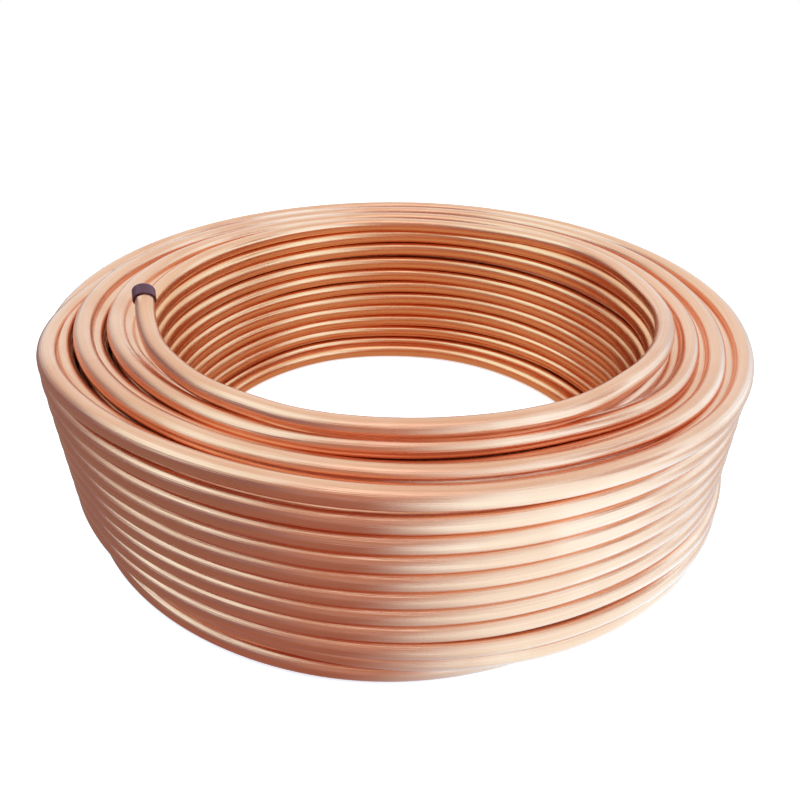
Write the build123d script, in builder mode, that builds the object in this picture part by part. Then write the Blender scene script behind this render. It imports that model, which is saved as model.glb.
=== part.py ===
from build123d import *
import os
from math import asin, cos, degrees, radians, sqrt

os.makedirs("parts", exist_ok=True)

# Sizes are in millimetres. The coil lies on the floor, +Z is up, and the
# origin is on the winding axis at floor level.

# The tube itself
tube_diameter = 9.52
tube_wall = 0.8

# The winding: nested layers round an open bore
turn_gap = 0.55
bore_radius = 133.7
layers = 7
turns_tall_layer = 11

# The last turn lies loose on top and springs out to one side, by a number of
# layers. One way it runs round the coil, tightens and lifts its straight end
# clear of the winding.
spring_out_layers = 1.72
spring_out_direction = -66.0
loose_angle = 108.0
tightening_angle = 42.0
lift_radius = 70.0
lift_angle = 30.0
lift_roll = 68.0
end_straight = 9.0

# The other way it eases down and in between the wound turns. Each of these
# bends sinks by a number of pitches.
descent_angle = 60.0
descent_pitches = 0.08
entry_angle = 60.0
entry_pitches = 3.2

# The plastic cap on the free end
cap_wall = 0.85
cap_clearance = 0.1
cap_length = 7.0
cap_end_thickness = 1.2
cap_edge_radius = 1.5

# Spacing of the winding: each layer sits in the grooves of the one before
tube_radius = tube_diameter / 2
pitch = tube_diameter + turn_gap
layer_step = pitch * sqrt(3) / 2


def layer_radius(layer):
    """Centre-line radius of a layer, counted from 0 at the bore."""
    return bore_radius + tube_radius + layer * layer_step


def layer_heights(layer):
    """Centre heights of a layer's turns: tall layers start on the floor, the others half a pitch up."""
    is_tall = (layers - 1 - layer) % 2 == 0
    turns = turns_tall_layer if is_tall else turns_tall_layer - 1
    first = tube_radius if is_tall else tube_radius + pitch / 2
    return [first + pitch * turn for turn in range(turns)]


# Centres of the turns that show, in order round the section of the winding.
# One more turn lies on the floor just inside the bore, where the winding began.
bottom_row = [(layer_radius(layer), layer_heights(layer)[0]) for layer in range(layers - 1, -1, -1)]
bore_column = [(layer_radius(0), height) for height in layer_heights(0)]
top_row = [(layer_radius(layer), layer_heights(layer)[-1]) for layer in range(1, layers)]
outer_column = [(layer_radius(layers - 1), height) for height in layer_heights(layers - 1)[-2:0:-1]]
if bore_column[0][1] > tube_radius:
    first_turn = (layer_radius(0) - layer_step, tube_radius)
    inner_side = [first_turn] + bore_column
else:
    first_turn = (layer_radius(0) - pitch, tube_radius)
    inner_side = [bore_column[0], first_turn] + bore_column[1:]
winding_outline = bottom_row[:-1] + inner_side + top_row + outer_column

# The last turn rests one pitch above the tallest layer. Its path starts at
# the right-hand side and runs both ways from there as a chain of bends, each
# with a centre-line radius, an angle, and a roll about the tube beforehand.
wound_radius = layer_radius(1)
tightened_radius = layer_radius(0) - layer_step
descent_radius = wound_radius - layer_step / 3
entry_radius = layer_radius(2)
last_turn_height = layer_heights(layers - 1)[-1] + pitch


def roll_to_sink(radius, angle, depth):
    """Roll about the tube that lets a bend sink by a depth on its way round."""
    return degrees(asin(depth / (radius * (1 - cos(radians(angle))))))


to_free_end = [
    (wound_radius, loose_angle, 0),
    (tightened_radius, tightening_angle, 0),
    (lift_radius, lift_angle, -lift_roll),
]
down_into_winding = [
    (descent_radius, descent_angle, -roll_to_sink(descent_radius, descent_angle, descent_pitches * pitch)),
    (entry_radius, entry_angle, -roll_to_sink(entry_radius, entry_angle, entry_pitches * pitch)),
]


def bend_tube(frame, radius, angle):
    """Bend the tube from the frame's origin, along its x axis and towards its y axis."""
    with BuildSketch(Plane(frame.origin, x_dir=frame.y_dir, z_dir=frame.x_dir)) as section:
        Circle(tube_radius)
    bend_axis = Axis(frame.from_local_coords((0, radius, 0)), frame.z_dir)
    revolve(section.sketch, axis=bend_axis, revolution_arc=angle)
    return Plane(frame * Pos(0, radius, 0) * Rot(0, 0, angle) * Pos(0, -radius, 0))


with BuildPart() as tube_coil:
    with BuildSketch(Plane.XZ):
        Polygon(*winding_outline, align=None)
        with Locations(*winding_outline):
            Circle(tube_radius)
    revolve(axis=Axis.Z)

# The last turn of the same tube, as far as it shows outside the winding
with BuildPart() as last_turn:
    spring_out = Vector(spring_out_layers * layer_step, 0, last_turn_height)
    loose_centre = spring_out.rotate(Axis.Z, spring_out_direction)
    start = loose_centre + Vector(wound_radius, 0, 0)

    frame = Plane(start, x_dir=(0, 1, 0), z_dir=(0, 0, 1))
    for radius, angle, roll in down_into_winding:
        frame = bend_tube(Plane(frame * Rot(roll, 0, 0)), radius, angle)

    frame = Plane(start, x_dir=(0, -1, 0), z_dir=(0, 0, -1))
    for radius, angle, roll in to_free_end:
        frame = bend_tube(Plane(frame * Rot(roll, 0, 0)), radius, angle)

    # The straight end, open as the tube is
    end_plane = Plane(frame.origin, x_dir=frame.y_dir, z_dir=frame.x_dir)
    with BuildSketch(end_plane):
        Circle(tube_radius)
    extrude(amount=end_straight)
    with BuildSketch(end_plane):
        Circle(tube_radius - tube_wall)
    extrude(amount=end_straight, mode=Mode.SUBTRACT)

    # It disappears where it meets the wound turns
    add(tube_coil.part, mode=Mode.SUBTRACT)

# The cap is a short cup pushed over the tube until its end meets the tube
cap_inner_radius = tube_radius + cap_clearance
cap_outer_radius = cap_inner_radius + cap_wall
cap_mouth = end_plane.offset(end_straight + cap_end_thickness - cap_length)
with BuildPart() as end_cap:
    with BuildSketch(cap_mouth):
        Circle(cap_outer_radius)
    extrude(amount=cap_length)
    with BuildSketch(cap_mouth):
        Circle(cap_inner_radius)
    extrude(amount=cap_length - cap_end_thickness, mode=Mode.SUBTRACT)
    closed_end_edge = end_cap.edges().sort_by(Axis(end_plane.origin, end_plane.z_dir))[-1]
    fillet(closed_end_edge, cap_edge_radius)

tube_coil.part.label = "tube_coil"
last_turn.part.label = "last_turn"
end_cap.part.label = "end_cap"
export_step(tube_coil.part, "parts/tube_coil.step")
export_step(last_turn.part, "parts/last_turn.step")
export_step(end_cap.part, "parts/end_cap.step")
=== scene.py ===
import bpy
import numpy as np
from bpy.props import FloatProperty, FloatVectorProperty, IntProperty, PointerProperty
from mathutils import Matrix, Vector


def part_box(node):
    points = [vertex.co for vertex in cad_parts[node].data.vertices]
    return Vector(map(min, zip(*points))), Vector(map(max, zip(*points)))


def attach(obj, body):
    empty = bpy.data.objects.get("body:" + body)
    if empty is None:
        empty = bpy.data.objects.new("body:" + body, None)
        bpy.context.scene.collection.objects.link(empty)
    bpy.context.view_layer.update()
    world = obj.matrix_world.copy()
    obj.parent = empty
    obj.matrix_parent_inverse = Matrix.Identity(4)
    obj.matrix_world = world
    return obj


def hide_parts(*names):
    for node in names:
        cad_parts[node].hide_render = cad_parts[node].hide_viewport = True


bl_info = {
    "name": "Copper Tube Coil",
    "version": (1, 0, 0),
    "blender": (4, 5, 0),
    "location": "3D View > Sidebar > Tube Coil",
    "description": "Builds a level-wound coil of soft copper tube from its wound turns",
    "category": "Add Mesh",
}

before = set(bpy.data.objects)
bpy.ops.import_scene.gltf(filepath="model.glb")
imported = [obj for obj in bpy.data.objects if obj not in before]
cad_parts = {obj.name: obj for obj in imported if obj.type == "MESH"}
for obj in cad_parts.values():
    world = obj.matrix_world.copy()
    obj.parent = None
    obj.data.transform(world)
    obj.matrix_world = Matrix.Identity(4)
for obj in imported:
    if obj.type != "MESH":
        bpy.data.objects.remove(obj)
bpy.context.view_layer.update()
OUTER_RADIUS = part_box("tube_coil")[1][0]

# Places and lengths are in metres and angles in degrees. Azimuths go round the
# winding: the front of the coil is at -90 and the right-hand side at 0.

# The straight free end in the cap: its tip, and the azimuth and slope of its axis
END_TIP = (-0.1285, -0.0555, 0.1284)
END_AZIMUTH = 107.8
END_SLOPE = 27.62
END_LENGTH = 0.009

# Azimuths at which the heights of the outer turns are stated
TURN_AZIMUTHS = (-150, -120, -90, -60, -40, 0, 90, 170)

# Centre heights of the outer turns in pitches above the floor, top turn first. The
# tube drops by a pitch in each turn, most of it where it crosses over at the front.
OUTER_TURN_HEIGHTS = (
    (11.05, 11.01, 10.65, 10.27, 9.87, 9.95, 10.37, 10.25),
    (9.85, 9.825, 9.43, 9.17, 8.82, 8.90, 9.28, 9.14),
    (8.79, 8.77, 8.44, 8.19, 7.77, 7.86, 8.18, 8.07),
    (7.78, 7.77, 7.49, 7.24, 6.81, 6.90, 7.10, 7.02),
    (6.80, 6.79, 6.53, 6.29, 5.85, 5.90, 6.02, 6.02),
    (5.84, 5.83, 5.58, 5.34, 4.89, 4.90, 4.94, 5.02),
    (4.88, 4.87, 4.62, 4.37, 3.84, 3.80, 3.85, 3.99),
    (3.88, 3.87, 3.64, 3.27, 2.72, 2.68, 2.77, 2.97),
    (2.86, 2.85, 2.58, 2.01, 1.59, 1.56, 1.65, 1.97),
    (2.05, 2.05, 1.65, 1.00, 0.52, 0.473, 0.473, 0.473),
    (0.473, 0.473, 0.473, 0.473, 0.473, 0.473, 0.473, 0.473),
)

# Millimetres by which an outer turn stands out of its layer's own radius
OUTER_TURN_OFFSETS = {
    0: (0.0, 0.0, 1.5, 1.5, 1.0, 0.0, 0.0, 0.0),
    7: (0.0, 0.0, 0.0, 0.5, 2.5, 1.5, 0.0, 0.0),
    8: (0.0, 0.0, 0.0, 1.0, 3.0, 1.5, 0.0, -1.0),
    9: (-4.5, -4.5, -2.0, 0.0, 1.0, 0.5, -1.0, -4.0),
    10: (-5.0, -5.0, -5.0, -9.0, -13.0, -13.0, -13.0, -13.0),
}

# The outer layer's tube comes up out of the layer below: how far before the first
# stated azimuth it starts, how long it rises, and from how many pitches down. Its
# last turn ends on the floor at an azimuth of its own.
RISE_LEAD = 40
RISE_SPAN = 50
RISE_PITCHES = 0.75
OUTER_END_AZIMUTH = -45


def smooth_curve(x, knots_x, knots_y):
    """Cubic curve through the knots, with its slope at a knot taken from its neighbours."""
    knots_x = np.asarray(knots_x, float)
    knots_y = np.asarray(knots_y, float)
    slope = np.gradient(knots_y, knots_x)
    i = np.clip(np.searchsorted(knots_x, x, side="right") - 1, 0, len(knots_x) - 2)
    h = knots_x[i + 1] - knots_x[i]
    t = np.clip((x - knots_x[i]) / h, 0, 1)
    start = (2 * t**3 - 3 * t**2 + 1) * knots_y[i] + (t**3 - 2 * t**2 + t) * h * slope[i]
    end = (3 * t**2 - 2 * t**3) * knots_y[i + 1] + (t**3 - t**2) * h * slope[i + 1]
    return start + end


def ring_curve(azimuth, knots_x, knots_y):
    """Smooth curve that comes back to its start after 360 degrees of azimuth."""
    once = np.asarray(knots_x, float)
    thrice = np.concatenate((once - 360, once, once + 360))
    return smooth_curve(azimuth, thrice, np.tile(knots_y, 3))


def circle_path(azimuth, radius, height):
    """Points at the radius times the cosine and the sine of the azimuth, and at the height."""
    a = np.radians(azimuth)
    return np.stack((radius * np.cos(a), radius * np.sin(a), np.broadcast_to(height, a.shape)), -1)


def tube_rings(points, radii, sides, closed):
    """Rings of points round a path, and the angles round them.

    A point is the path's own, plus the tube's radius times (the angle's cosine along the
    side vector plus its sine along the up vector). The side vector is level and points
    outward; the up vector is square to it and to the path.
    """
    if closed:
        tangent = np.roll(points, -1, 0) - np.roll(points, 1, 0)
    else:
        tangent = np.gradient(points, axis=0)
    tangent /= np.linalg.norm(tangent, axis=1)[:, None]
    side = np.cross(tangent, (0.0, 0.0, 1.0))
    side /= np.linalg.norm(side, axis=1)[:, None]
    up = np.cross(side, tangent)
    t = np.arange(sides) * 2 * np.pi / sides
    ring = np.cos(t)[None, :, None] * side[:, None, :] + np.sin(t)[None, :, None] * up[:, None, :]
    return points[:, None, :] + radii[:, None, None] * ring, t


def tube_mesh(name, tubes, sides):
    """One mesh of tubes, each given as its points, radii, turn numbers and whether it is a ring.

    Its surface is a circle carried along the points. A tube that is no ring is closed by a
    fan of faces at each end. Each vertex keeps the cosine and sine of its angle round the
    tube and its turn number, for the draw lines.
    """
    verts, faces, marks, first = [], [], [], 0
    for points, radii, turn, closed in tubes:
        rings, t = tube_rings(points, radii, sides, closed)
        n = len(points)
        verts.append(rings.reshape(-1, 3))
        turn = np.broadcast_to(turn, (n,))
        mark = np.stack(np.broadcast_arrays(np.cos(t), np.sin(t), turn[:, None]), -1)
        marks.append(mark.reshape(-1, 3))
        steps = n if closed else n - 1
        i = np.arange(steps)[:, None]
        j = np.arange(sides)[None, :]
        k, m = (i + 1) % n, (j + 1) % sides
        quads = np.stack(np.broadcast_arrays(
            i * sides + j, k * sides + j, k * sides + m, i * sides + m), -1)
        faces.extend((first + quads.reshape(-1, 4)).tolist())
        if not closed:
            poles = first + n * sides
            verts.append(points[[0, -1]])
            marks.append(np.array([[0, 0, turn[0]], [0, 0, turn[-1]]]))
            a = np.arange(sides)
            b = (a + 1) % sides
            start = np.stack((np.full(sides, poles), first + a, first + b), -1)
            last = first + (n - 1) * sides
            end = np.stack((np.full(sides, poles + 1), last + b, last + a), -1)
            faces.extend(start.tolist() + end.tolist())
            first += 2
        first += n * sides
    mesh = bpy.data.meshes.new(name)
    mesh.from_pydata(np.concatenate(verts).tolist(), [], faces)
    mesh.attributes.new("round_tube", "FLOAT_VECTOR", "POINT").data.foreach_set(
        "vector", np.concatenate(marks).astype(np.float32).ravel())
    mesh.shade_smooth()
    piece = bpy.data.objects.new(name, mesh)
    bpy.context.scene.collection.objects.link(piece)
    return piece


def dress(piece, material, slot, *nodes):
    """The piece takes its finish, rides on the coil and stands in for CAD nodes."""
    piece.data.materials.append(material)
    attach(piece, "root")
    if nodes:
        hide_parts(*nodes)


def value_node(tree, kind, location, inputs=None, **settings):
    """A node of the given kind. Each input takes a plain value or the output that feeds it."""
    node = tree.nodes.new(kind)
    node.location = location
    for key, value in settings.items():
        setattr(node, key, value)
    for key, value in (inputs or {}).items():
        if isinstance(value, bpy.types.NodeSocket):
            tree.links.new(value, node.inputs[key])
        else:
            node.inputs[key].default_value = value
    return node


def maths(tree, operation, location, *values):
    """Sum or product of values and outputs."""
    inputs = dict(enumerate(values))
    return value_node(tree, "ShaderNodeMath", location, inputs, operation=operation).outputs[0]


def vector_maths(tree, operation, location, *values):
    """Node that works on vectors."""
    inputs = dict(enumerate(values))
    return value_node(tree, "ShaderNodeVectorMath", location, inputs, operation=operation)


def ramp(tree, location, value, start, end, low=0.0, high=1.0, kind="SMOOTHSTEP"):
    """Goes from low to high as the value goes from start to end."""
    inputs = {"Value": value, "From Min": start, "From Max": end, "To Min": low, "To Max": high}
    node = value_node(tree, "ShaderNodeMapRange", location, inputs, interpolation_type=kind)
    return node.outputs["Result"]


def blend(tree, location, share, first, second):
    """Colour that goes from the first to the second with the share."""
    inputs = {"Factor": share}
    for key, colour in (("A", first), ("B", second)):
        is_output = isinstance(colour, bpy.types.NodeSocket)
        inputs[key] = colour if is_output else (*colour, 1.0)
    node = value_node(tree, "ShaderNodeMix", location, inputs, data_type="RGBA")
    return node.outputs["Result"]


def noise(tree, location, **inputs):
    """Noise at a place, in four dimensions where W is given."""
    dimensions = "4D" if "W" in inputs else "3D"
    node = value_node(tree, "ShaderNodeTexNoise", location, inputs, noise_dimensions=dimensions)
    return node.outputs["Fac"]


def bump(tree, location, height, strength, distance):
    """Normal of a surface raised by the height."""
    inputs = {"Height": height, "Strength": strength, "Distance": distance}
    return value_node(tree, "ShaderNodeBump", location, inputs).outputs["Normal"]


def object_place(tree, location):
    """Place of the point in the object's own metres."""
    return value_node(tree, "ShaderNodeTexCoord", location).outputs["Object"]


def new_finish(name):
    """A new material, its node tree and its main shader."""
    material = bpy.data.materials.new(name)
    material.use_nodes = True
    return material, material.node_tree, material.node_tree.nodes["Principled BSDF"]


def draw_marks_group():
    """Lines that drawing leaves along a tube, and soft dull patches from handling.

    The lines are noise that changes fast round the tube and slowly along it. It is read
    at the point's x and y, the cosine and the sine of the angle round the tube, and a
    step from turn to turn.
    """
    name = "tube_draw_marks"
    if name in bpy.data.node_groups:
        return bpy.data.node_groups[name]
    turn_step = 5.3
    tree = bpy.data.node_groups.new(name, "ShaderNodeTree")
    for label, default in (("Lines Round", 7.0), ("Lines Along", 9.0), ("Patches", 14.0)):
        socket = tree.interface.new_socket(
            label, in_out="INPUT", socket_type="NodeSocketFloat")
        socket.default_value = default
    for label in ("Lines", "Patches", "Hairlines"):
        tree.interface.new_socket(label, in_out="OUTPUT", socket_type="NodeSocketFloat")

    given = value_node(tree, "NodeGroupInput", (-900, 0)).outputs
    around, along = given["Lines Round"], given["Lines Along"]
    mark = value_node(
        tree, "ShaderNodeAttribute", (-900, 300), attribute_name="round_tube")
    place = object_place(tree, (-900, -300))
    cosine, sine, turn = value_node(
        tree, "ShaderNodeSeparateXYZ", (-700, 300), {0: mark.outputs["Vector"]}).outputs
    x, y, _ = value_node(tree, "ShaderNodeSeparateXYZ", (-700, -300), {0: place}).outputs
    where = value_node(tree, "ShaderNodeCombineXYZ", (-300, 0), {
        0: maths(tree, "MULTIPLY", (-480, -200), x, along),
        1: maths(tree, "MULTIPLY", (-480, -350), y, along),
        2: maths(tree, "MULTIPLY", (-480, 400), cosine, around),
    }).outputs[0]
    fourth = maths(
        tree, "ADD", (-300, 200),
        maths(tree, "MULTIPLY", (-480, 250), sine, around),
        maths(tree, "MULTIPLY", (-480, 100), turn, turn_step))

    lines = noise(tree, (-80, 200), Vector=where, W=fourth, Scale=1.0, Detail=3.0, Roughness=0.6)
    hairlines = noise(tree, (-80, 500), Vector=where, W=fourth, Scale=3.4, Detail=2.0)
    spots = noise(
        tree, (-80, -200), Vector=place, Scale=given["Patches"], Detail=3.0, Roughness=0.55)
    patches = ramp(tree, (200, -200), spots, 0.42, 0.66)
    value_node(tree, "NodeGroupOutput", (700, 0), {
        "Lines": lines, "Patches": patches, "Hairlines": hairlines})
    return tree


# Radii and heights in metres between which the copper takes a painted deeper colour that stands in
# for light bounced many times inside the bore
PAINTED_BOUNCE_RADII = (0.160, 0.148)
PAINTED_BOUNCE_HEIGHTS = (0.114, 0.100)


def copper_finish(settings):
    """Bright drawn copper: fine lines along the tube, dull patches and a little tarnish, with a
    painted deeper colour of bounced light inside the bore.
    """
    name = "bright_drawn_copper"
    if name in bpy.data.materials:
        return bpy.data.materials[name]
    material, tree, shader = new_finish(name)
    marks = value_node(
        tree, "ShaderNodeGroup", (-900, 100), node_tree=draw_marks_group()).outputs

    # Tarnish gathers in the lines and in the dull patches
    tarnish = ramp(
        tree, (-560, 400), marks["Lines"], 0.3, 0.72, high=settings.tarnish, kind="LINEAR")
    tarnish = maths(tree, "MULTIPLY_ADD", (-430, 200), marks["Patches"], 0.35, tarnish)
    colour = blend(
        tree, (-300, 300), tarnish, settings.copper_colour, settings.tarnish_colour)

    # Painted bounce light: inside the bore the copper is given a deeper colour, as light that has
    # met copper many times looks deeper in colour
    place = object_place(tree, (-1100, 700))
    level = vector_maths(tree, "MULTIPLY", (-900, 700), place, (1.0, 1.0, 0.0)).outputs[0]
    radius = vector_maths(tree, "LENGTH", (-700, 700), level).outputs["Value"]
    inward = ramp(tree, (-500, 700), radius, *PAINTED_BOUNCE_RADII)
    height = value_node(tree, "ShaderNodeSeparateXYZ", (-700, 900), {0: place}).outputs["Z"]
    below = ramp(tree, (-500, 950), height, *PAINTED_BOUNCE_HEIGHTS, high=settings.painted_bounce_share)
    inside = maths(tree, "MULTIPLY", (-300, 800), inward, below)
    colour = blend(tree, (-100, 500), inside, colour, settings.painted_bounce_colour)

    smooth, dull = settings.roughness - 0.06, settings.roughness + 0.08
    rough = ramp(tree, (-560, -100), marks["Lines"], 0.25, 0.75, smooth, dull, "LINEAR")
    rough = maths(tree, "MULTIPLY_ADD", (-300, -100), marks["Patches"], 0.09, rough)
    raised = maths(
        tree, "MULTIPLY_ADD", (-560, -350), marks["Hairlines"], 0.35, marks["Lines"])
    shader.inputs["Metallic"].default_value = 1.0
    tree.links.new(colour, shader.inputs["Base Color"])
    tree.links.new(rough, shader.inputs["Roughness"])
    tree.links.new(
        bump(tree, (-300, -350), raised, settings.line_depth, 0.0004), shader.inputs["Normal"])
    return material


def plastic_finish():
    """Dark violet-black soft plastic with a faint mould grain and scuffs."""
    material, tree, shader = new_finish("dark_cap_plastic")
    place = object_place(tree, (-900, 0))
    grain = noise(tree, (-700, 100), Vector=place, Scale=900.0, Detail=3.0)
    scuffs = noise(tree, (-700, -200), Vector=place, Scale=160.0, Detail=5.0)
    colour = blend(tree, (-300, 200), scuffs, (0.060, 0.012, 0.020), (0.105, 0.024, 0.036))
    rough = ramp(tree, (-300, -50), scuffs, 0.0, 1.0, 0.26, 0.48, "LINEAR")
    shader.inputs["Specular IOR Level"].default_value = 0.4
    shader.inputs["Specular Tint"].default_value = (1.0, 0.75, 0.75, 1.0)
    tree.links.new(colour, shader.inputs["Base Color"])
    tree.links.new(rough, shader.inputs["Roughness"])
    tree.links.new(bump(tree, (-300, -300), grain, 0.15, 0.0002), shader.inputs["Normal"])
    return material


# Painted light: the glow the floor shows only in the copper's mirror, in place of lit floor: what
# it is at first, then each change as the way it goes, from and to how many metres along it, and
# the new light.
FLOOR_LIGHT = (0.33, 0.19, 0.18)
FLOOR_CHANGES = (
    ((1.0, 0.0, 0.0), -0.035, 0.085, (1.12, 2.05, 2.80)),
    ((0.35, 1.0, 0.0), -0.14, 0.06, (0.74, 0.92, 1.02)),
    ((-1.0, 0.35, 0.0), 0.02, 0.12, (0.27, 0.19, 0.18)),
)

# Painted shade: little light reaches the floor inside the bore, so there it glows dimmer in the
# copper's mirror: its light, and the radii between which it begins
BORE_FLOOR_LIGHT = (0.56, 0.40, 0.28)
BORE_FLOOR_RADII = (0.150, 0.125)


def floor_finish():
    """Pale floor: white with the coil's soft shadow to the eye.

    In the copper's mirror it shows a painted glow instead, warm and dull at the left and bright at
    the right.
    """
    material, tree, shader = new_finish("pale_floor")
    shader.inputs["Base Color"].default_value = (0.80, 0.80, 0.80, 1.0)
    shader.inputs["Roughness"].default_value = 0.9
    shader.inputs["Specular IOR Level"].default_value = 0.1
    glow = value_node(tree, "ShaderNodeEmission", (0, 300), {"Strength": 0.55})
    seen = value_node(
        tree, "ShaderNodeAddShader", (250, 300), {0: shader.outputs[0], 1: glow.outputs[0]})

    place = object_place(tree, (-1300, -300))
    colour = FLOOR_LIGHT
    for index, (way, start, end, light) in enumerate(FLOOR_CHANGES):
        x = -1100 + 250 * index
        along = vector_maths(tree, "DOT_PRODUCT", (x, -300), place, way).outputs["Value"]
        share = ramp(tree, (x + 100, -500), along, start, end)
        colour = blend(tree, (x + 200, -300), share, colour, light)
    radius = vector_maths(tree, "LENGTH", (-1100, -800), place).outputs["Value"]
    inside = ramp(tree, (-900, -800), radius, *BORE_FLOOR_RADII)
    colour = blend(tree, (-350, -500), inside, colour, BORE_FLOOR_LIGHT)
    dull = value_node(
        tree, "ShaderNodeBsdfDiffuse", (-100, -100), {"Color": (0.05, 0.04, 0.03, 1.0)})
    # Painted light: this glow, not lamp light, is what the copper mirrors of the floor
    shine = value_node(tree, "ShaderNodeEmission", (-100, -300), {"Color": colour})
    mirrored = value_node(
        tree, "ShaderNodeAddShader", (150, -200), {0: dull.outputs[0], 1: shine.outputs[0]})

    to_the_eye = value_node(tree, "ShaderNodeLightPath", (250, 600)).outputs["Is Camera Ray"]
    choice = value_node(tree, "ShaderNodeMixShader", (450, 200), {
        0: to_the_eye, 1: mirrored.outputs[0], 2: seen.outputs[0]})
    tree.links.new(choice.outputs[0], tree.nodes["Material Output"].inputs["Surface"])
    return material


def bright_patch_group():
    """How much a direction lies in a soft round patch, from 0 outside it to 1 in it.

    The direction's cosine to the patch's aim, from the cosine at its edge to the one in
    its middle, smoothed.
    """
    name = "bright_patch"
    if name in bpy.data.node_groups:
        return bpy.data.node_groups[name]
    tree = bpy.data.node_groups.new(name, "ShaderNodeTree")
    for label, kind in (("Direction", "NodeSocketVector"), ("Aim", "NodeSocketVector"),
                        ("Edge", "NodeSocketFloat"), ("Middle", "NodeSocketFloat")):
        tree.interface.new_socket(label, in_out="INPUT", socket_type=kind)
    tree.interface.new_socket("Share", in_out="OUTPUT", socket_type="NodeSocketFloat")
    given = value_node(tree, "NodeGroupInput", (-600, 0)).outputs
    aim = vector_maths(tree, "NORMALIZE", (-400, -100), given["Aim"]).outputs["Vector"]
    cosine = vector_maths(
        tree, "DOT_PRODUCT", (-200, 0), given["Direction"], aim).outputs["Value"]
    share = ramp(tree, (100, 0), cosine, given["Edge"], given["Middle"])
    value_node(tree, "NodeGroupOutput", (400, 0), {"Share": share})
    return tree


# Bright patches of the surroundings, each over the ones before: its aim, the cosine at
# its edge and in its middle, and its light
PATCHES = (
    ((0.00, -1.00, 0.05), 0.78, 0.97, (0.58, 0.52, 0.60)),
    ((0.00, 0.00, 1.00), 0.44, 0.64, (0.80, 0.92, 0.98)),
    ((0.00, 0.92, 0.40), 0.40, 0.90, (0.95, 1.28, 1.45)),
    ((-0.66, -0.10, 0.74), 0.85, 0.96, (1.10, 1.85, 2.30)),
    ((0.00, -0.76, 0.65), 0.78, 0.96, (0.52, 0.38, 0.34)),
    ((0.95, -0.30, 0.05), 0.33, 0.70, (1.15, 2.05, 2.85)),
    ((0.80, -0.05, 0.60), 0.95, 0.99, (0.62, 0.50, 0.42)),
    ((0.00, -0.30, 0.95), 0.93, 0.985, (1.35, 1.75, 2.10)),
)


def surroundings(settings):
    """White to the eye; in the copper dim at the left, bright at the right, with panels."""
    world = bpy.data.worlds.new("surroundings")
    world.use_nodes = True
    tree = world.node_tree
    direction = value_node(tree, "ShaderNodeTexCoord", (-1500, 0)).outputs["Generated"]
    dim = settings.dim_side
    colour = (dim, dim * 0.80, dim * 1.10)
    for index, (aim, edge, middle, light) in enumerate(PATCHES):
        x = -1200 + 300 * index
        patch = value_node(
            tree, "ShaderNodeGroup", (x, 200), node_tree=bright_patch_group())
        tree.links.new(direction, patch.inputs["Direction"])
        patch.inputs["Aim"].default_value = aim
        patch.inputs["Edge"].default_value = edge
        patch.inputs["Middle"].default_value = middle
        colour = blend(tree, (x + 150, -100), patch.outputs["Share"], colour, light)
    to_the_eye = value_node(tree, "ShaderNodeLightPath", (-300, 400)).outputs["Is Camera Ray"]
    shown = blend(tree, (-100, 100), to_the_eye, colour, (1.0, 1.0, 1.0))
    tree.links.new(shown, tree.nodes["Background"].inputs["Color"])
    return world


class CoilSizes(bpy.types.PropertyGroup):
    """Sizes of the tube and of its winding."""
    tube_diameter: FloatProperty(
        name="Tube diameter", description="Outside diameter of the tube",
        default=0.00952, unit="LENGTH")
    pitch: FloatProperty(
        name="Pitch", description="Distance from one turn to the next in a layer",
        default=0.01007, unit="LENGTH")
    layer_step: FloatProperty(
        name="Layer step", description="Distance from one layer to the next",
        default=0.008721, unit="LENGTH")
    layers: IntProperty(
        name="Layers", description="Number of nested layers", default=7)
    steps_per_turn: IntProperty(
        name="Steps", description="Steps round one turn of the coil", default=256)
    sides: IntProperty(
        name="Sides", description="Sides round the tube", default=24)


class CopperFinish(bpy.types.PropertyGroup):
    """Finish of the copper."""
    copper_colour: FloatVectorProperty(
        name="Copper", description="Colour of the clean metal",
        default=(0.90, 0.44, 0.27), subtype="COLOR", min=0, max=1)
    tarnish_colour: FloatVectorProperty(
        name="Tarnish", description="Colour of the dulled metal",
        default=(0.76, 0.29, 0.14), subtype="COLOR", min=0, max=1)
    tarnish: FloatProperty(
        name="Tarnish amount", description="Share of tarnish along the draw lines",
        default=0.35, subtype="FACTOR")
    # Painted bounce light: the deeper colour the copper is given inside the bore, and its share,
    # stand in for light that has met copper many times, not for the metal's own colour
    painted_bounce_colour: FloatVectorProperty(
        name="Bore", description="Colour of the metal inside the bore",
        default=(0.90, 0.40, 0.19), subtype="COLOR", min=0, max=1)
    painted_bounce_share: FloatProperty(
        name="Bore depth", description="Share of the bore's colour inside the bore",
        default=0.85, subtype="FACTOR")
    roughness: FloatProperty(
        name="Roughness", description="Mean roughness of the metal",
        default=0.19, subtype="FACTOR")
    line_depth: FloatProperty(
        name="Line depth", description="Strength of the draw lines",
        default=0.35, subtype="FACTOR")


class StageSettings(bpy.types.PropertyGroup):
    """Lamps, surroundings and camera."""
    side_power: FloatProperty(
        name="Side lamp", description="Power of the soft lamp at the side",
        default=6.0, unit="POWER")
    top_power: FloatProperty(
        name="Top lamp", description="Power of the soft panel overhead",
        default=3.6, unit="POWER")
    dim_side: FloatProperty(
        name="Dim side", description="Brightness of the surroundings on the dim side",
        default=0.29, subtype="FACTOR")
    focal_length: FloatProperty(
        name="Focal length", description="Focal length of the camera in millimetres",
        default=29.44)


def layer_radius(sizes, layer):
    """Centre-line radius of a layer, the outermost one ending at the coil's own radius."""
    outermost = OUTER_RADIUS - sizes.tube_diameter / 2
    return outermost - (sizes.layers - 1 - layer) * sizes.layer_step


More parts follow.
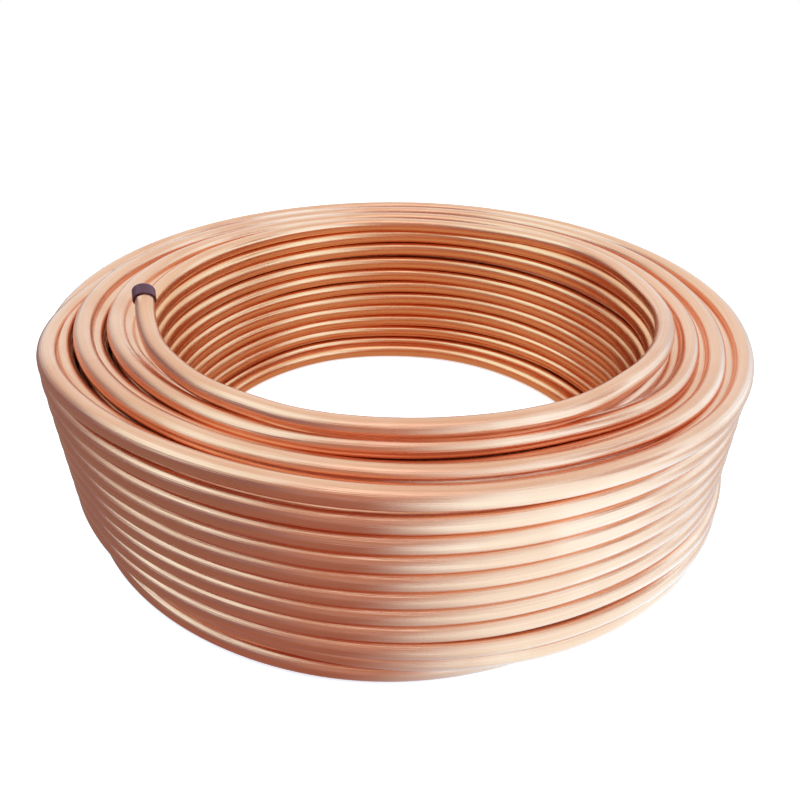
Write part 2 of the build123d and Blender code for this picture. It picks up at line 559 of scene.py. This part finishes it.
class TUBECOIL_OT_outer_layer(bpy.types.Operator):
    """The outermost layer as one long tube that drops by a pitch in each turn"""
    bl_idname = "tubecoil.outer_layer"
    bl_label = "Outer layer"

    def execute(self, context):
        sizes = context.scene.tubecoil_sizes
        turns = len(OUTER_TURN_HEIGHTS)
        knots = np.add.outer(360 * np.arange(turns), TURN_AZIMUTHS).ravel()
        heights = np.concatenate(OUTER_TURN_HEIGHTS)
        in_line = np.zeros(len(TURN_AZIMUTHS))
        offsets = [OUTER_TURN_OFFSETS.get(turn, in_line) for turn in range(turns)]
        offsets = np.concatenate(offsets) / 1000
        first = TURN_AZIMUTHS[0] - RISE_LEAD
        last = 360 * (turns - 1) + OUTER_END_AZIMUTH
        azimuth = np.arange(first, last, 360 / sizes.steps_per_turn)
        radius = layer_radius(sizes, sizes.layers - 1) + smooth_curve(azimuth, knots, offsets)
        height = smooth_curve(azimuth, knots, heights)
        # The first turn comes up out of the layer below, on a curve level at both ends
        rise = np.clip((azimuth - first) / RISE_SPAN, 0, 1)
        rise = rise * rise * (3 - 2 * rise)
        radius -= (1 - rise) * sizes.layer_step
        height -= (1 - rise) * RISE_PITCHES
        points = circle_path(azimuth, radius, height * sizes.pitch)
        radii = np.full(len(azimuth), sizes.tube_diameter / 2)
        piece = tube_mesh("outer_layer", [(points, radii, azimuth / 360, False)], sizes.sides)
        dress(piece, copper_finish(context.scene.tubecoil_copper), "copper", "tube_coil")
        return {"FINISHED"}


# How the top turn of each inner layer lies: pitches above its nominal height, and
# millimetres out of the layer's own radius. The turns below it follow it less and less.
TOP_AZIMUTHS = (-180, -155, -130, -110, -90, -66, -40, -20, 0, 30, 60, 90, 135)
TOP_RISE = {
    5: (0.35, 0.50, 0.40, 0.18, -0.08, -0.38, -0.50, -0.42, -0.40, -0.20, -0.12, -0.05, 0.10),
    4: (0.30, 0.40, 0.35, 0.22, 0.03, -0.28, -0.48, -0.45, -0.40, -0.20, -0.12, -0.05, 0.00),
    3: (0.30, 0.38, 0.35, 0.22, 0.03, -0.22, -0.48, -0.35, -0.35, -0.20, -0.12, -0.05, 0.00),
    2: (0.30, 0.40, 0.32, 0.15, 0.13, -0.10, -0.45, -0.42, -0.40, -0.20, -0.12, -0.05, 0.00),
    1: (0.35, 0.50, 0.34, 0.15, 0.00, -0.20, -0.35, -0.20, -0.20, -0.20, -0.12, -0.05, 0.00),
}
TOP_SHIFT = {
    5: (1.0, 1.7, 1.5, 1.0, 1.5, 1.5, 3.0, 1.5, 0.5, 0.0, 0.0, 0.0, 0.0),
    4: (-0.5, -0.5, 1.0, 2.5, 4.0, 4.5, 7.0, 4.0, 2.0, 1.0, 0.3, 0.0, 0.0),
    3: (2.0, 3.2, 3.0, 4.0, 5.0, 5.0, 9.0, 6.0, 4.0, 2.0, 0.5, 0.0, 1.0),
    2: (0.0, 1.0, 3.0, 5.0, 6.2, 6.5, 11.0, 9.0, 6.5, 3.0, 0.5, 0.0, 1.5),
    1: (3.0, 5.8, 6.0, 6.5, 7.0, 9.0, 13.0, 9.5, 7.5, 0.5, -3.5, -3.0, 1.0),
}
FOLLOWING = 1.5

# The inner layers' turns are mostly hidden, so they have fewer steps and sides
INNER_STEPS_SHARE = 0.75
SHORT_LAYER_SIDES = 20
LINES_SHIFT_PER_LAYER = 0.37


class TUBECOIL_OT_inner_layers(bpy.types.Operator):
    """The nested layers between the outer one and the bore, as closed rings"""
    bl_idname = "tubecoil.inner_layers"
    bl_label = "Inner layers"

    def execute(self, context):
        sizes = context.scene.tubecoil_sizes
        copper = copper_finish(context.scene.tubecoil_copper)
        turns = len(OUTER_TURN_HEIGHTS)
        steps = int(sizes.steps_per_turn * INNER_STEPS_SHARE)
        azimuth = TURN_AZIMUTHS[0] + np.arange(steps) * 360 / steps
        for layer in range(1, sizes.layers - 1):
            tall = (sizes.layers - 1 - layer) % 2 == 0
            count = turns if tall else turns - 1
            first = sizes.tube_diameter / 2 + (0 if tall else sizes.pitch / 2)
            rise = ring_curve(azimuth, TOP_AZIMUTHS, TOP_RISE[layer]) * sizes.pitch
            shift = ring_curve(azimuth, TOP_AZIMUTHS, TOP_SHIFT[layer]) / 1000
            tubes = []
            for turn in range(count):
                share = (turn / (count - 1)) ** FOLLOWING
                height = first + turn * sizes.pitch + share * rise
                radius = layer_radius(sizes, layer) + share * shift
                points = circle_path(azimuth, radius, height)
                radii = np.full(steps, sizes.tube_diameter / 2)
                tubes.append((points, radii, turn + LINES_SHIFT_PER_LAYER * layer, True))
            sides = sizes.sides if tall else SHORT_LAYER_SIDES
            piece = tube_mesh(f"layer_{layer + 1}", tubes, sides)
            dress(piece, copper, "copper")
        return {"FINISHED"}


# The innermost layer is one long tube that starts at the free end. The loose turn on
# top comes first, from its end round to the left: azimuth, radius as a share of the
# coil's own, and height in pitches above the floor.
LOOSE_TURN = (
    (-153.4, 0.7211, 12.337), (-149.5, 0.7310, 12.04), (-144.5, 0.7420, 11.78),
    (-138.3, 0.7557, 11.62), (-132.4, 0.7650, 11.52), (-127.3, 0.7738, 11.46),
    (-122.9, 0.7813, 11.42), (-116.4, 0.7876, 11.37), (-110.8, 0.7949, 11.34),
    (-105.8, 0.8031, 11.32), (-100.8, 0.8087, 11.31), (-90, 0.8158, 11.30),
    (-80, 0.8200, 11.29), (-72, 0.8240, 11.29), (-64.5, 0.8270, 11.32),
    (-58.3, 0.8235, 11.38), (-51.8, 0.8160, 11.45), (-46.6, 0.8100, 11.43),
    (-40, 0.8000, 11.40), (-32, 0.7850, 11.22), (-22, 0.7720, 10.97),
    (-15, 0.7650, 10.85), (-8, 0.7570, 10.75), (0, 0.7500, 10.69),
    (15, 0.7480, 10.60), (31, 0.7370, 10.57), (46, 0.7150, 10.55),
    (62, 0.6950, 10.53), (79, 0.6940, 10.51), (90, 0.7010, 10.50),
    (103, 0.7110, 10.50), (119, 0.7190, 10.48), (137, 0.7250, 10.42),
    (155, 0.7330, 10.38), (180, 0.7400, 10.30),
)

# The turns below it, at azimuths of their own: the radius of the upper turns as a
# share of the coil's
BORE_AZIMUTHS = (-140, -110, -90, -60, -40, -15, 5, 20, 30, 60, 90, 122, 145, 180)
BORE_RADII = (
    0.760, 0.780, 0.790, 0.795, 0.790, 0.776, 0.750,
    0.732, 0.720, 0.700, 0.702, 0.720, 0.727, 0.738)

# Within so many turns the front of the bore comes to stand on a smaller radius
UPRIGHT_RADII = (0.722, 0.712, 0.710, 0.712, 0.724, 0.757) + BORE_RADII[6:]
TURNS_TO_UPRIGHT = 3

# Centre heights of the turns in pitches above the floor, top turn first
BORE_TURN_HEIGHTS = (
    (10.00, 9.90, 9.85, 9.80, 9.78, 9.77, 9.77, 9.75, 9.76, 9.69, 9.65, 9.48, 9.41, 9.37),
    (9.25, 9.00, 8.88, 8.78, 8.72, 8.68, 8.70, 8.72, 8.74, 8.70, 8.62, 8.49, 8.45, 8.42),
    (8.30, 7.95, 7.75, 7.58, 7.53, 7.52, 7.50, 7.46, 7.49, 7.52, 7.49, 7.44, 7.41, 7.38),
    (7.20, 6.90, 6.70, 6.60, 6.57, 6.58, 6.54, 6.50, 6.52, 6.49, 6.50, 6.45, 6.38, 6.33),
    (6.20, 5.92, 5.77, 5.67, 5.62, 5.60, 5.56, 5.52, 5.55, 5.58, 5.49, 5.39, 5.42, 5.35),
    (5.20, 4.92, 4.77, 4.70, 4.68, 4.66, 4.64, 4.54, 4.60, 4.61, 4.46, 4.41, 4.50, 4.38),
    (4.22, 4.00, 3.87, 3.77, 3.72, 3.68, 3.66, 3.58, 3.58, 3.60, 3.50, 3.50, 3.52, 3.40),
    (3.22, 3.00, 2.87, 2.78, 2.77, 2.76, 2.74, 2.64, 2.67, 2.65, 2.51, 2.53, 2.48, 2.42),
    (2.28, 2.02, 1.87, 1.77, 1.68, 1.68, 1.64, 1.63, 1.67, 1.60, 1.51, 1.64, 1.57, 1.50),
    (1.35, 1.02, 0.80, 0.62, 0.58, 0.57, 0.57, 0.54, 0.57, 0.53, 0.50, 0.58, 0.52, 0.473),
)

# The lowest turn of the wall, and the turn that lies on the floor inside it. That one
# ends at the front.
LOWEST_TURN_RADII = (
    0.722, 0.712, 0.710, 0.712, 0.724, 0.757, 0.740,
    0.722, 0.710, 0.695, 0.702, 0.720, 0.727, 0.738)
FLOOR_TURN_RADII = (
    0.672, 0.660, 0.657, 0.660, 0.670, 0.695, 0.680,
    0.662, 0.648, 0.625, 0.620, 0.650, 0.670, 0.690)
FLOOR_END_KNOT = -90
FLOOR_END_AZIMUTH = -95

# The wall's turns are pressed together: how much wider their radius grows to fill
# the pitch, and from and to which azimuth of the loose turn it does
PRESSED_WIDER = 0.0003
PRESSED_AZIMUTHS = (60, 180)
END_STEPS = 12


class TUBECOIL_OT_bore_layer(bpy.types.Operator):
    """The innermost layer as one long tube, from its free end down to the turn on the floor"""
    bl_idname = "tubecoil.bore_layer"
    bl_label = "Bore layer and last turn"

    def execute(self, context):
        sizes = context.scene.tubecoil_sizes
        turns = len(BORE_TURN_HEIGHTS)
        end = 360 * (turns + 2)
        loose_azimuths, loose_radii, loose_heights = np.transpose(LOOSE_TURN)
        below = 360 * np.arange(1, turns + 2)
        below = np.add.outer(below, BORE_AZIMUTHS).ravel()
        knots = np.concatenate((loose_azimuths, below, [end + FLOOR_END_KNOT]))

        upright = np.clip(np.arange(turns - 1) / TURNS_TO_UPRIGHT, 0, 1)[:, None]
        wall = np.array(BORE_RADII) * (1 - upright) + np.array(UPRIGHT_RADII) * upright
        radii = np.concatenate((
            loose_radii, wall.ravel(), LOWEST_TURN_RADII, FLOOR_TURN_RADII, FLOOR_TURN_RADII[:1]))
        on_floor = np.full(len(BORE_AZIMUTHS) + 1, sizes.tube_diameter / 2 / sizes.pitch)
        heights = np.concatenate((loose_heights, *BORE_TURN_HEIGHTS, on_floor))

        azimuth = np.arange(knots[0], end + FLOOR_END_AZIMUTH, 360 / sizes.steps_per_turn)
        radius = smooth_curve(azimuth, knots, radii) * OUTER_RADIUS
        height = smooth_curve(azimuth, knots, heights) * sizes.pitch
        points = circle_path(azimuth, radius, height)

        # The straight end runs back from its tip along the cap's axis, and takes the
        # place of the path's first point
        slope = np.radians(END_SLOPE)
        direction = circle_path(END_AZIMUTH, np.cos(slope), np.sin(slope))
        back = np.arange(END_STEPS - 1)[:, None] / END_STEPS * END_LENGTH
        points = np.concatenate((np.array(END_TIP) - back * direction, points[1:]))
        azimuth = np.concatenate((np.full(len(back), azimuth[0]), azimuth[1:]))

        start, full = PRESSED_AZIMUTHS
        pressed = np.clip((azimuth - start) / (full - start), 0, 1)
        thick = sizes.tube_diameter / 2 + pressed * PRESSED_WIDER
        tube = (points, thick, azimuth / 360, False)
        piece = tube_mesh("bore_layer", [tube], sizes.sides)
        dress(piece, copper_finish(context.scene.tubecoil_copper), "copper", "last_turn")
        return {"FINISHED"}


class TUBECOIL_OT_end_cap(bpy.types.Operator):
    """The plastic cap on the free end"""
    bl_idname = "tubecoil.end_cap"
    bl_label = "End cap"

    def execute(self, context):
        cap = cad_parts["end_cap"]
        cap.data.materials.clear()
        cap.data.materials.append(plastic_finish())
        return {"FINISHED"}


FLOOR_HALF_WIDTH = 3.0
FLOOR_LEVEL = -0.0002

# Place and aim of the lamps, and their colours
SIDE_LAMP = ((1.25, -0.55, 0.60), (0, 0, 0.05), (0.66, 0.92, 1.00))
TOP_LAMP = ((0.0, 0.08, 0.65), (0, 0.08, 0.0), (0.92, 0.98, 1.00))
SIDE_LAMP_SIZE = (0.9, 0.9)
TOP_LAMP_SIZE = (1.2, 0.85)

CAMERA_PLACE = (0.0, -0.36831, 0.25476)
CAMERA_AIM = (0.0, 0.0, 0.02967)
CAMERA_SHIFT = 0.0047


def turned_to(item, place, aim):
    """The item stands at the place and looks at the aim."""
    item.location = place
    turn = (Vector(aim) - Vector(place)).to_track_quat("-Z", "Y")
    item.rotation_euler = turn.to_euler()


def soft_lamp(scene, name, lamp, size, power):
    """A soft panel of light that is never seen or mirrored itself."""
    place, aim, colour = lamp
    data = bpy.data.lights.new(name, "AREA")
    data.energy = power
    data.color = colour
    data.shape = "RECTANGLE"
    data.size, data.size_y = size
    item = bpy.data.objects.new(name, data)
    scene.collection.objects.link(item)
    item.visible_camera = False
    item.visible_glossy = False
    turned_to(item, place, aim)


class TUBECOIL_OT_stage(bpy.types.Operator):
    """Floor, surroundings, lamps and camera"""
    bl_idname = "tubecoil.stage"
    bl_label = "Stage"

    def execute(self, context):
        settings = context.scene.tubecoil_stage
        scene = context.scene
        scene.view_settings.view_transform = "Standard"

        # A pale sheet that keeps the coil's shadow and shows white
        mesh = bpy.data.meshes.new("floor")
        corners = FLOOR_HALF_WIDTH * np.array([(-1, -1), (1, -1), (1, 1), (-1, 1)])
        corners = np.column_stack((corners, np.full(4, FLOOR_LEVEL)))
        mesh.from_pydata(corners.tolist(), [], [(0, 1, 2, 3)])
        floor = bpy.data.objects.new("floor", mesh)
        scene.collection.objects.link(floor)
        mesh.materials.append(floor_finish())
        scene.world = surroundings(settings)

        soft_lamp(scene, "side_lamp", SIDE_LAMP, SIDE_LAMP_SIZE, settings.side_power)
        soft_lamp(scene, "top_lamp", TOP_LAMP, TOP_LAMP_SIZE, settings.top_power)

        data = bpy.data.cameras.new("camera")
        data.lens = settings.focal_length
        data.sensor_width = 36.0
        data.shift_x = CAMERA_SHIFT
        data.clip_start = 0.01
        camera = bpy.data.objects.new("camera", data)
        scene.collection.objects.link(camera)
        turned_to(camera, CAMERA_PLACE, CAMERA_AIM)
        scene.camera = camera
        return {"FINISHED"}


class TUBECOIL_PT_panel(bpy.types.Panel):
    """Sizes, finishes and pieces of the coil"""
    bl_label = "Copper tube coil"
    bl_idname = "TUBECOIL_PT_panel"
    bl_space_type = "VIEW_3D"
    bl_region_type = "UI"
    bl_category = "Tube Coil"

    def draw(self, context):
        scene = context.scene
        for settings in (scene.tubecoil_sizes, scene.tubecoil_copper, scene.tubecoil_stage):
            box = self.layout.box()
            for name in settings.__annotations__:
                box.prop(settings, name)
        for operator in OPERATORS:
            self.layout.operator(operator.bl_idname)


OPERATORS = (
    TUBECOIL_OT_stage,
    TUBECOIL_OT_outer_layer,
    TUBECOIL_OT_inner_layers,
    TUBECOIL_OT_bore_layer,
    TUBECOIL_OT_end_cap,
)
CLASSES = (CoilSizes, CopperFinish, StageSettings, *OPERATORS, TUBECOIL_PT_panel)


def register():
    for item in CLASSES:
        bpy.utils.register_class(item)
    bpy.types.Scene.tubecoil_sizes = PointerProperty(type=CoilSizes)
    bpy.types.Scene.tubecoil_copper = PointerProperty(type=CopperFinish)
    bpy.types.Scene.tubecoil_stage = PointerProperty(type=StageSettings)


def unregister():
    del bpy.types.Scene.tubecoil_stage
    del bpy.types.Scene.tubecoil_copper
    del bpy.types.Scene.tubecoil_sizes
    for item in reversed(CLASSES):
        bpy.utils.unregister_class(item)


def main():
    register()
    bpy.ops.tubecoil.stage()
    bpy.ops.tubecoil.outer_layer()
    bpy.ops.tubecoil.inner_layers()
    bpy.ops.tubecoil.bore_layer()
    bpy.ops.tubecoil.end_cap()


if __name__ == "__main__":
    main()
